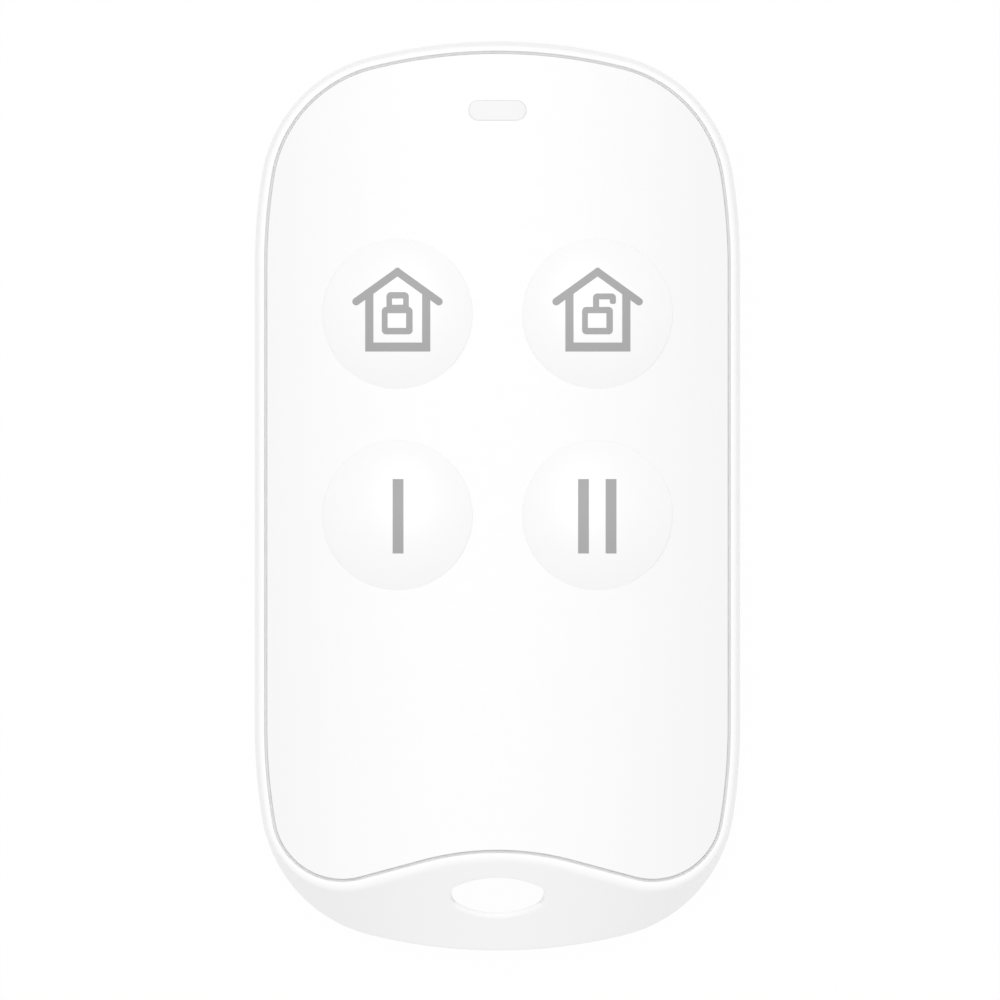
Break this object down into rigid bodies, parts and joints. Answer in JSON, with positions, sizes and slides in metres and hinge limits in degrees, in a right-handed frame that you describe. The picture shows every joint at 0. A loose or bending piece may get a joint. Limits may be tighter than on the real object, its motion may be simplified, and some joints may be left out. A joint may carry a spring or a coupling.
{
  "type": "alarm key fob",
  "caption": "Slim white remote with a crowned front, domed push keys marked arm, disarm, I and II, a lamp window and a key-ring eye through its sloping chin.",
  "frame": {"origin": "middle of the rear face, on the surface the fob lies on", "axes": "+Z out of the front with the keys, +Y along the fob towards the lamp end, +X to the right seen from the front"},
  "size_m": [0.0346, 0.065, 0.0122],
  "materials": {
    "housing_plastic": "white, fine satin",
    "panel_plastic": "white, smooth matte",
    "key_rubber": "white soft-touch with grey printed symbols",
    "window_plastic": "translucent white light guide",
    "board_laminate": "green solder mask",
    "lamp_resin": "clear resin",
    "chip_resin": "black moulding resin",
    "ceramic_chip": "ceramic chip parts",
    "switch_resin": "black resin",
    "plunger_resin": "grey resin",
    "tinned_brass": "tinned",
    "bright_steel": "nickel-plated",
    "screw_steel": "zinc-plated"
  },
  "bodies": {
    "housing": {"front_housing": "housing_plastic", "front_panel": "panel_plastic", "lamp_window": "window_plastic", "circuit_board": "board_laminate", "status_lamp": "lamp_resin", "radio_chip": "chip_resin", "transmitter_chip": "chip_resin", "crystal": "bright_steel", "small_board_parts": "ceramic_chip", "aerial": "tinned_brass", "coin_cell": "bright_steel", "cell_negative_contact": "tinned_brass", "cell_positive_clip": "bright_steel", "rear_cover": "housing_plastic", "cover_screws": "screw_steel", "switch_arm": "switch_resin", "switch_disarm": "switch_resin", "switch_one": "switch_resin", "switch_two": "switch_resin"},
    "arm_key": {"button_arm": "key_rubber", "plunger_arm": "plunger_resin"},
    "disarm_key": {"button_disarm": "key_rubber", "plunger_disarm": "plunger_resin"},
    "one_key": {"button_one": "key_rubber", "plunger_one": "plunger_resin"},
    "two_key": {"button_two": "key_rubber", "plunger_two": "plunger_resin"}
  },
  "joints": [
    {"name": "arm_press", "type": "slide", "parent": "housing", "child": "arm_key", "axis": [0, 0, -1], "range_m": [0, 0.0003], "stiffness_N_per_m": 4000},
    {"name": "disarm_press", "type": "slide", "parent": "housing", "child": "disarm_key", "axis": [0, 0, -1], "range_m": [0, 0.0003], "stiffness_N_per_m": 4000},
    {"name": "one_press", "type": "slide", "parent": "housing", "child": "one_key", "axis": [0, 0, -1], "range_m": [0, 0.0003], "stiffness_N_per_m": 4000},
    {"name": "two_press", "type": "slide", "parent": "housing", "child": "two_key", "axis": [0, 0, -1], "range_m": [0, 0.0003], "stiffness_N_per_m": 4000}
  ]
}
